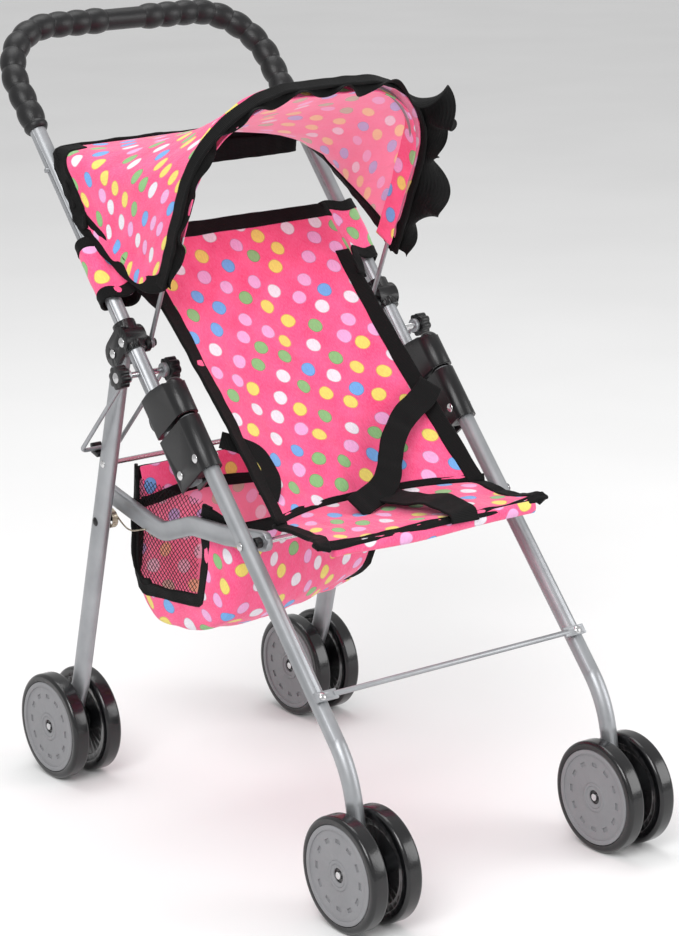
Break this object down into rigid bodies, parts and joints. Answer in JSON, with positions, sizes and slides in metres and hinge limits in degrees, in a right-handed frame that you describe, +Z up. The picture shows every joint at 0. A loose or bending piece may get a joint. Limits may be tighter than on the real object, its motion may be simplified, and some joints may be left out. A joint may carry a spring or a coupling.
{
  "type": "doll stroller",
  "caption": "Folding umbrella doll stroller with a U-shaped push handle, paired wheels, sling seat, tilting canopy and under-seat basket.",
  "frame": {"origin": "on the ground, in the middle of the plan outline", "axes": "-Y to the front of the stroller, +X to the doll's left, +Z up"},
  "size_m": [0.277, 0.489, 0.5685],
  "materials": {
    "frame_tube": "satin",
    "bright_steel": "polished",
    "spring_steel": "satin",
    "black_plastic": "satin",
    "grip_rubber": "satin",
    "wheel_plastic": "gloss",
    "cover_plastic": "satin",
    "dotted_fabric": "printed woven polyester",
    "black_binding": "woven tape"
  },
  "bodies": {
    "front_frame": {"front_leg_left": "frame_tube", "front_leg_right": "frame_tube", "hinge_bracket_left": "black_plastic", "hinge_bracket_right": "black_plastic", "hinge_pins": "bright_steel", "leg_rivets": "bright_steel", "front_cross_rod": "frame_tube", "cross_rod_rivets": "bright_steel", "seat_cross_bar": "bright_steel", "link_spacers": "black_plastic", "seat_base": "dotted_fabric", "seat_front_roll": "dotted_fabric", "crotch_strap": "black_binding"},
    "handle_frame": {"push_handle_tube": "frame_tube", "handle_grip": "grip_rubber", "upper_bracket_left": "black_plastic", "upper_bracket_right": "black_plastic", "bracket_rivets": "bright_steel", "rear_leg_pins": "bright_steel", "canopy_clip_left": "black_plastic", "canopy_clip_right": "black_plastic", "canopy_rear_wire": "frame_tube", "seat_back": "dotted_fabric", "waist_straps": "black_binding", "lock_bolts": "bright_steel", "lock_knobs": "black_plastic"},
    "rear_frame": {"rear_leg_left": "frame_tube", "rear_leg_right": "frame_tube", "rear_cross_rod": "bright_steel", "spring_pins": "black_plastic", "torsion_spring_left": "spring_steel", "torsion_spring_right": "spring_steel", "wire_catches": "black_plastic", "basket": "dotted_fabric"},
    "side_links": {"side_link_left": "frame_tube", "side_link_right": "frame_tube", "link_caps": "black_plastic"},
    "lock_wires": {"lock_wires": "frame_tube"},
    "lock_sleeve_left": {"lock_sleeve_left": "black_plastic"},
    "lock_sleeve_right": {"lock_sleeve_right": "black_plastic"},
    "canopy_bow": {"canopy_bow": "frame_tube", "canopy_cover": "dotted_fabric", "canopy_frill": "black_binding"},
    "front_left_wheel_pair": {"front_left_wheels": "wheel_plastic", "front_left_hub_covers": "cover_plastic", "front_left_axle": "bright_steel"},
    "front_right_wheel_pair": {"front_right_wheels": "wheel_plastic", "front_right_hub_covers": "cover_plastic", "front_right_axle": "bright_steel"},
    "rear_left_wheel_pair": {"rear_left_wheels": "wheel_plastic", "rear_left_hub_covers": "cover_plastic", "rear_left_axle": "bright_steel"},
    "rear_right_wheel_pair": {"rear_right_wheels": "wheel_plastic", "rear_right_hub_covers": "cover_plastic", "rear_right_axle": "bright_steel"}
  },
  "joints": [
    {"name": "fold", "type": "hinge", "parent": "front_frame", "child": "handle_frame", "pos_m": [0, -0.01069, 0.27237], "axis": [1, 0, 0], "range_deg": [-120, 0]},
    {"name": "rear_leg_fold", "type": "hinge", "parent": "handle_frame", "child": "rear_frame", "pos_m": [0, 0.07211, 0.3447], "axis": [1, 0, 0], "range_deg": [0, 79.52], "deforming": ["torsion_spring_left", "torsion_spring_right"]},
    {"name": "side_link_swing", "type": "hinge", "parent": "front_frame", "child": "side_links", "pos_m": [0, -0.0779, 0.2358], "axis": [1, 0, 0], "range_deg": [-74.24, 0]},
    {"name": "lock_wire_swing", "type": "hinge", "parent": "handle_frame", "child": "lock_wires", "pos_m": [0, 0.04287, 0.33486], "axis": [1, 0, 0], "range_deg": [0, 68.6]},
    {"name": "lock_slide_left", "type": "slide", "parent": "handle_frame", "child": "lock_sleeve_left", "axis": [0, 0.6508, 0.7593], "range_m": [-0.0025, 0.013]},
    {"name": "lock_slide_right", "type": "slide", "parent": "handle_frame", "child": "lock_sleeve_right", "axis": [0, 0.6508, 0.7593], "range_m": [-0.0025, 0.013]},
    {"name": "canopy_tilt", "type": "hinge", "parent": "handle_frame", "child": "canopy_bow", "pos_m": [0, 0.058, 0.352], "axis": [1, 0, 0], "range_deg": [-38, 25], "deforming": ["canopy_cover"]},
    {"name": "front_left_wheel_spin", "type": "hinge", "parent": "front_frame", "child": "front_left_wheel_pair", "pos_m": [0.1125, -0.204, 0.0405], "axis": [1, 0, 0], "continuous": true},
    {"name": "front_right_wheel_spin", "type": "hinge", "parent": "front_frame", "child": "front_right_wheel_pair", "pos_m": [-0.1125, -0.204, 0.0405], "axis": [1, 0, 0], "continuous": true},
    {"name": "rear_left_wheel_spin", "type": "hinge", "parent": "rear_frame", "child": "rear_left_wheel_pair", "pos_m": [0.1125, 0.164, 0.0405], "axis": [1, 0, 0], "continuous": true},
    {"name": "rear_right_wheel_spin", "type": "hinge", "parent": "rear_frame", "child": "rear_right_wheel_pair", "pos_m": [-0.1125, 0.164, 0.0405], "axis": [1, 0, 0], "continuous": true}
  ],
  "couplings": [
    {"joint": "rear_leg_fold", "follows": "fold", "ratio": -0.661},
    {"joint": "side_link_swing", "follows": "fold", "ratio": 0.617},
    {"joint": "lock_wire_swing", "follows": "fold", "ratio": -0.57}
  ]
}
